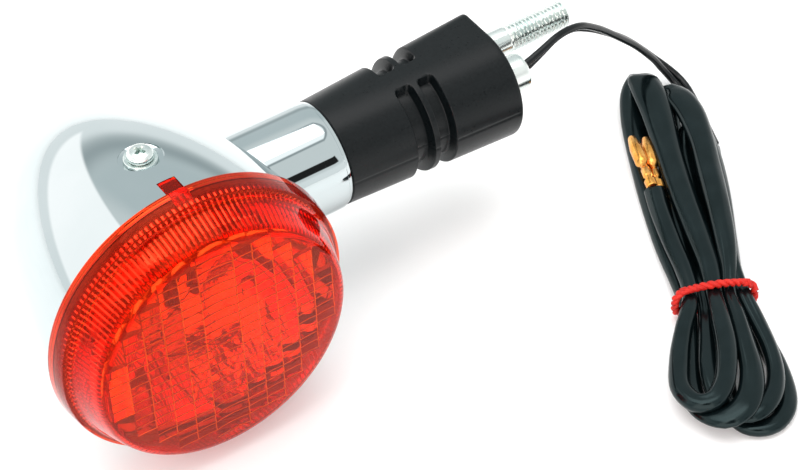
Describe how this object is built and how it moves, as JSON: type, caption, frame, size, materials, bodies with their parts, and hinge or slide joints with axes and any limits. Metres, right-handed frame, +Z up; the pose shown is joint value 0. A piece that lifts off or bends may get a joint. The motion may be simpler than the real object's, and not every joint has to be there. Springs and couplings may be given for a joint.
{
  "type": "turn signal indicator",
  "caption": "Motorcycle turn signal: bullet-shaped chrome lamp head with an orange lens, on a grooved rubber stalk with a mounting stud, wire tube and tied lead.",
  "frame": {"origin": "on the base's seating face, midway between the mounting stud and the wire tube", "axes": "+X out of the seating face along the stud, lens facing -Y, +Z up, as the lamp is fitted on the right-hand side seen from the lens"},
  "size_m": [0.2233, 0.1735, 0.0815],
  "materials": {
    "chrome": "mirror chrome plating over a die casting",
    "lens_amber": "clear orange-red moulded acrylic with inner ribs",
    "stalk_rubber": "satin moulded rubber",
    "gasket_rubber": "soft matt rubber",
    "zinc_plate": "bright zinc plating",
    "steel": "plain steel",
    "reflector_coat": "vapour-coated reflector",
    "brass": "plain brass",
    "bulb_brass": "nickel-washed brass cap",
    "phenolic": "pressed phenolic",
    "bulb_glass": "clear blown glass",
    "solder": "solder",
    "filament_wire": "tungsten wire",
    "wire_cover": "soft black insulation",
    "wire_sleeving": "soft flattened black sleeving",
    "red_tie": "twisted plastic-covered tie"
  },
  "bodies": {
    "base": {"base_plate": "steel", "mounting_stud": "zinc_plate", "wire_tube": "zinc_plate", "rubber_stalk": "stalk_rubber", "inner_wire_live": "wire_cover", "inner_wire_earth": "wire_cover", "lead_wire_live": "wire_cover", "lead_wire_earth": "wire_cover", "wire_hank": "wire_sleeving", "hank_tie": "red_tie", "bullet_connector_1": "brass", "bullet_connector_2": "brass"},
    "lamp": {"stem_sleeve": "chrome", "stem_core": "steel", "stem_washer": "steel", "stem_nut": "zinc_plate", "housing": "chrome", "housing_screw": "zinc_plate", "screw_washer": "zinc_plate", "socket_bracket": "steel", "reflector": "reflector_coat", "socket_shell": "brass", "socket_base": "phenolic", "live_terminal": "brass", "earth_terminal": "brass", "contact_spring": "steel", "lens_gasket": "gasket_rubber"},
    "contact": {"contact_disc": "phenolic", "contact_stud": "brass"},
    "bulb": {"bulb_glass": "bulb_glass", "bulb_cap": "bulb_brass", "bulb_contact": "solder", "filament": "filament_wire"},
    "lens": {"lens": "lens_amber"}
  },
  "joints": [
    {"name": "stalk_flex", "type": "hinge", "parent": "base", "child": "lamp", "pos_m": [-0.0272, -0.004, 0], "axis": [0, 0, 1], "range_deg": [-20, 20], "stiffness_Nm_per_rad": 4, "deforming": ["rubber_stalk", "inner_wire_live", "inner_wire_earth"]},
    {"name": "lens_pull", "type": "slide", "parent": "lamp", "child": "lens", "axis": [0, -1, 0], "range_m": [0, 0.03]},
    {"name": "bulb_push", "type": "slide", "parent": "lamp", "child": "contact", "axis": [0, 1, 0], "range_m": [0, 0.0018], "stiffness_N_per_m": 1500, "deforming": ["contact_spring"]},
    {"name": "bulb_turn", "type": "hinge", "parent": "contact", "child": "bulb", "pos_m": [-0.1105, 0, 0], "axis": [0, 1, 0], "range_deg": [-20, 0]}
  ]
}
